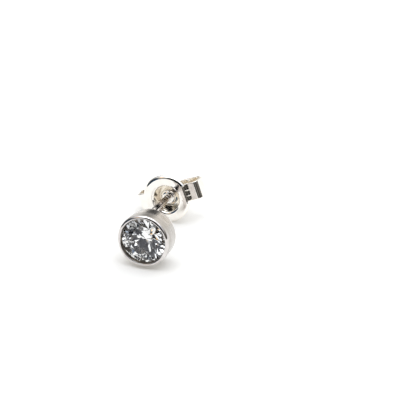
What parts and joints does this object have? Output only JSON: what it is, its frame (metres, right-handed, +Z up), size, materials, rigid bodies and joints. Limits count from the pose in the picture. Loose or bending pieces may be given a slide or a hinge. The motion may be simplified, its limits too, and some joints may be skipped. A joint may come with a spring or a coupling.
{
  "type": "stud earring",
  "caption": "Stud earring: a round clear faceted stone in a rubbed-over silver cup, on a straight post with a butterfly clutch.",
  "frame": {"origin": "middle of the bounding box's base, on the surface the earring lies on", "axes": "+Z up, +Y along the post's plan line from the stone's face to the post's tip, +X to the right seen from the stone's side"},
  "size_m": [0.0078, 0.0142, 0.006],
  "materials": {
    "satin_silver": "silver, satin wall with a burnished rim",
    "clear_stone": "polished colourless cubic zirconia",
    "bright_silver": "bright stamped silver"
  },
  "bodies": {
    "stud": {"bezel_setting": "satin_silver", "stone": "clear_stone"},
    "clutch": {"butterfly_clutch": "bright_silver"}
  },
  "joints": [
    {"name": "clutch_slide", "type": "slide", "parent": "stud", "child": "clutch", "axis": [0, 0.9882, -0.1534], "range_m": [-0.0068, 0.0029]}
  ]
}
